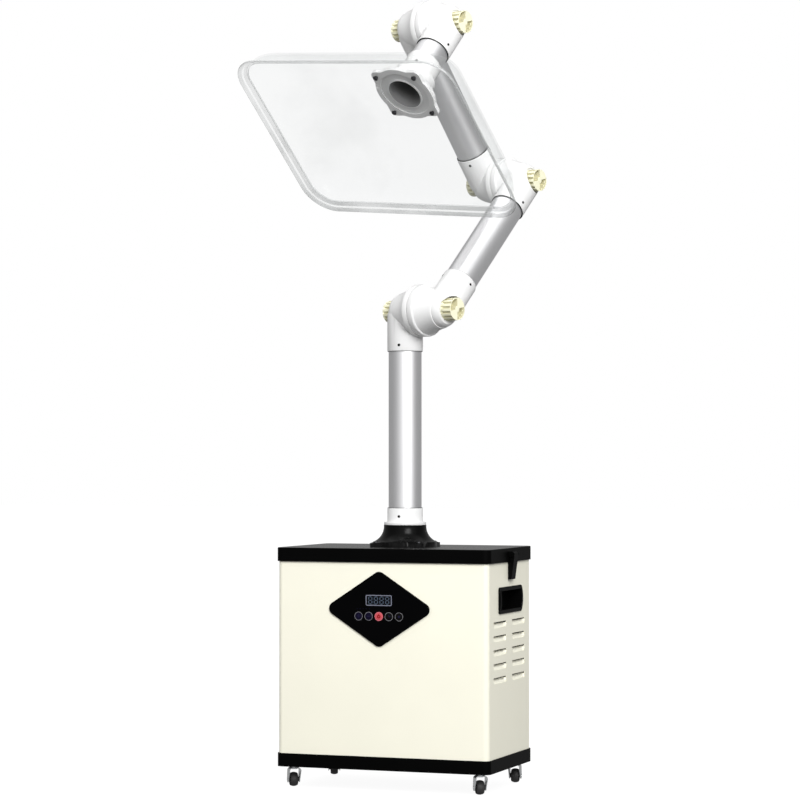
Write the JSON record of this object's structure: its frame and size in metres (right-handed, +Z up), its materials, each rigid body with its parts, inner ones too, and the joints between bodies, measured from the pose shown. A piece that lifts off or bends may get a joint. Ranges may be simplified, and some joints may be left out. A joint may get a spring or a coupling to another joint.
{
  "type": "smoke extractor",
  "caption": "Mobile smoke extractor: an ivory filter cabinet on casters with a black lid, a jointed suction arm of aluminium tubes and a clear hood.",
  "frame": {"origin": "floor point under the axis of the column", "axes": "+Z up, -Y to the front of the cabinet, +X to its right seen from the front"},
  "size_m": [0.6068, 0.8008, 1.7834],
  "materials": {
    "ivory_metal": "satin",
    "black_metal": "satin",
    "black_plastic": "matte",
    "foam": "matte",
    "panel_black": "gloss",
    "display": "gloss",
    "key_plastic": "gloss",
    "board": "matte",
    "zinc": "satin",
    "dark_steel": "satin",
    "sheet_steel": "satin",
    "filter_media": "matte",
    "motor_metal": "satin",
    "flange_black": "gloss",
    "white_plastic": "gloss",
    "tube_aluminium": "satin",
    "seal_grey": "matte",
    "knob_cream": "satin",
    "clear_acrylic": "gloss",
    "wheel_black": "matte"
  },
  "bodies": {
    "cabinet": {"base_tray": "black_metal", "cabinet_shell": "ivory_metal", "rear_panel": "ivory_metal", "power_inlet": "black_plastic", "lid": "black_metal", "lid_gasket": "foam", "side_handles": "black_plastic", "latch_brackets": "black_plastic", "latch_catches": "black_plastic", "control_panel": "panel_black", "display_window": "display", "touch_keys": "key_plastic", "control_board": "board", "caster_stems": "zinc", "filter_shelf": "sheet_steel", "main_filter": "filter_media", "pre_filter": "filter_media", "blower_housing": "black_plastic", "blower_motor": "motor_metal", "column_flange": "flange_black", "flange_screws": "dark_steel"},
    "column": {"column_collar": "white_plastic", "column_tube": "tube_aluminium", "shoulder_lower_shell": "white_plastic", "shoulder_bolt": "zinc", "shoulder_ring": "seal_grey"},
    "middle_arm": {"shoulder_upper_shell": "white_plastic", "middle_tube": "tube_aluminium", "elbow_lower_shell": "white_plastic", "elbow_bolt": "zinc", "elbow_ring": "seal_grey"},
    "upper_arm": {"elbow_upper_shell": "white_plastic", "upper_tube": "tube_aluminium", "wrist_lower_shell": "white_plastic", "wrist_bolt": "zinc", "wrist_ring": "seal_grey"},
    "hood_arm": {"wrist_upper_shell": "white_plastic", "hood_tube": "tube_aluminium", "hood_collar": "white_plastic"},
    "hood_head": {"hood": "clear_acrylic", "hood_flange": "white_plastic", "hood_screws": "dark_steel"},
    "rotor": {"blower_impeller": "black_plastic", "blower_shaft": "zinc"},
    "latch_right": {"latch_lever_right": "black_plastic"},
    "latch_left": {"latch_lever_left": "black_plastic"},
    "shoulder_lower_knob": {"shoulder_lower_knob": "knob_cream"},
    "shoulder_upper_knob": {"shoulder_upper_knob": "knob_cream"},
    "elbow_lower_knob": {"elbow_lower_knob": "knob_cream"},
    "elbow_upper_knob": {"elbow_upper_knob": "knob_cream"},
    "wrist_lower_knob": {"wrist_lower_knob": "knob_cream"},
    "wrist_upper_knob": {"wrist_upper_knob": "knob_cream"},
    "fork_front_left": {"caster_fork_front_left": "zinc"},
    "wheel_front_left": {"caster_wheel_front_left": "wheel_black"},
    "fork_front_right": {"caster_fork_front_right": "zinc"},
    "wheel_front_right": {"caster_wheel_front_right": "wheel_black"},
    "fork_rear_left": {"caster_fork_rear_left": "zinc"},
    "wheel_rear_left": {"caster_wheel_rear_left": "wheel_black"},
    "fork_rear_right": {"caster_fork_rear_right": "zinc"},
    "wheel_rear_right": {"caster_wheel_rear_right": "wheel_black"}
  },
  "joints": [
    {"name": "column_swivel", "type": "hinge", "parent": "cabinet", "child": "column", "pos_m": [0, 0, 0.589], "axis": [0, 0, 1], "range_deg": [-180, 180]},
    {"name": "shoulder_hinge", "type": "hinge", "parent": "column", "child": "middle_arm", "pos_m": [0, 0, 1.075], "axis": [-0.9336, 0.3584, 0], "range_deg": [-75, 45]},
    {"name": "elbow_hinge", "type": "hinge", "parent": "middle_arm", "child": "upper_arm", "pos_m": [0.10607, 0.27633, 1.38691], "axis": [-0.9336, 0.3584, 0], "range_deg": [-5, 75]},
    {"name": "wrist_hinge", "type": "hinge", "parent": "upper_arm", "child": "hood_arm", "pos_m": [0.01036, 0.02698, 1.7239], "axis": [-0.9336, 0.3584, 0], "range_deg": [-5, 75]},
    {"name": "hood_swivel", "type": "hinge", "parent": "hood_arm", "child": "hood_head", "pos_m": [0.05759, -0.15691, 1.54837], "axis": [-0.237, -0.6174, -0.7501], "range_deg": [-30, 30]},
    {"name": "blower_spin", "type": "hinge", "parent": "cabinet", "child": "rotor", "pos_m": [0, 0, 0.3], "axis": [0, 0, 1], "continuous": true},
    {"name": "latch_right_turn", "type": "hinge", "parent": "cabinet", "child": "latch_right", "pos_m": [0.261, 0, 0.526], "axis": [0, -1, 0], "range_deg": [0, 110]},
    {"name": "latch_left_turn", "type": "hinge", "parent": "cabinet", "child": "latch_left", "pos_m": [-0.261, 0, 0.526], "axis": [0, 1, 0], "range_deg": [0, 110]},
    {"name": "shoulder_lower_knob_turn", "type": "hinge", "parent": "column", "child": "shoulder_lower_knob", "pos_m": [0, 0, 1.075], "axis": [-0.9336, 0.3584, 0], "range_deg": [0, 360]},
    {"name": "shoulder_upper_knob_turn", "type": "hinge", "parent": "middle_arm", "child": "shoulder_upper_knob", "pos_m": [0, 0, 1.075], "axis": [0.9336, -0.3584, 0], "range_deg": [0, 360]},
    {"name": "elbow_lower_knob_turn", "type": "hinge", "parent": "middle_arm", "child": "elbow_lower_knob", "pos_m": [0.10607, 0.27633, 1.38691], "axis": [0.9336, -0.3584, 0], "range_deg": [0, 360]},
    {"name": "elbow_upper_knob_turn", "type": "hinge", "parent": "upper_arm", "child": "elbow_upper_knob", "pos_m": [0.10607, 0.27633, 1.38691], "axis": [-0.9336, 0.3584, 0], "range_deg": [0, 360]},
    {"name": "wrist_lower_knob_turn", "type": "hinge", "parent": "upper_arm", "child": "wrist_lower_knob", "pos_m": [0.01036, 0.02698, 1.7239], "axis": [-0.9336, 0.3584, 0], "range_deg": [0, 360]},
    {"name": "wrist_upper_knob_turn", "type": "hinge", "parent": "hood_arm", "child": "wrist_upper_knob", "pos_m": [0.01036, 0.02698, 1.7239], "axis": [0.9336, -0.3584, 0], "range_deg": [0, 360]},
    {"name": "caster_swivel_front_left", "type": "hinge", "parent": "cabinet", "child": "fork_front_left", "pos_m": [-0.222, -0.12, 0.04], "axis": [0, 0, 1], "continuous": true},
    {"name": "wheel_spin_front_left", "type": "hinge", "parent": "fork_front_left", "child": "wheel_front_left", "pos_m": [-0.22703, -0.11254, 0.016], "axis": [0.829, 0.5592, 0], "continuous": true},
    {"name": "caster_swivel_front_right", "type": "hinge", "parent": "cabinet", "child": "fork_front_right", "pos_m": [0.222, -0.12, 0.04], "axis": [0, 0, 1], "continuous": true},
    {"name": "wheel_spin_front_right", "type": "hinge", "parent": "fork_front_right", "child": "wheel_front_right", "pos_m": [0.21723, -0.11237, 0.016], "axis": [0.848, 0.5299, 0], "continuous": true},
    {"name": "caster_swivel_rear_left", "type": "hinge", "parent": "cabinet", "child": "fork_rear_left", "pos_m": [-0.222, 0.12, 0.04], "axis": [0, 0, 1], "continuous": true},
    {"name": "wheel_spin_rear_left", "type": "hinge", "parent": "fork_rear_left", "child": "wheel_rear_left", "pos_m": [-0.22508, 0.12846, 0.016], "axis": [0.9397, 0.342, 0], "continuous": true},
    {"name": "caster_swivel_rear_right", "type": "hinge", "parent": "cabinet", "child": "fork_rear_right", "pos_m": [0.222, 0.12, 0.04], "axis": [0, 0, 1], "continuous": true},
    {"name": "wheel_spin_rear_right", "type": "hinge", "parent": "fork_rear_right", "child": "wheel_rear_right", "pos_m": [0.22075, 0.12891, 0.016], "axis": [0.9903, 0.1392, 0], "continuous": true}
  ]
}
